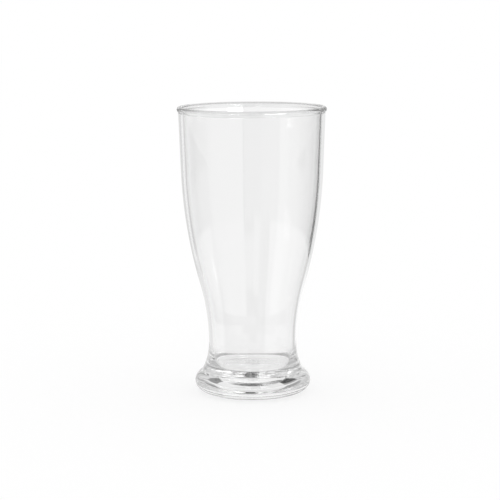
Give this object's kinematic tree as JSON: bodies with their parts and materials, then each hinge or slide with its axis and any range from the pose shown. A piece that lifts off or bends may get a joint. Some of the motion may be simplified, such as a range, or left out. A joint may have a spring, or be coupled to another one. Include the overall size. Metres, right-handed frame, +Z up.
{
  "type": "pilsner glass",
  "caption": "Footed beer glass: near-straight upper wall with a beaded rim, belly drawn in to a narrow waist, flared into a heavy solid foot.",
  "frame": {"origin": "centre of the plane that the glass stands on, on its axis", "axes": "+Z up along the axis of the glass, from the foot to the rim; X and Y lie in the table's plane and are alike"},
  "size_m": [0.0838, 0.0838, 0.162],
  "materials": {
    "glass": "clear, fire-polished"
  },
  "bodies": {
    "root": {"bowl": "glass", "foot": "glass"}
  },
  "joints": []
}
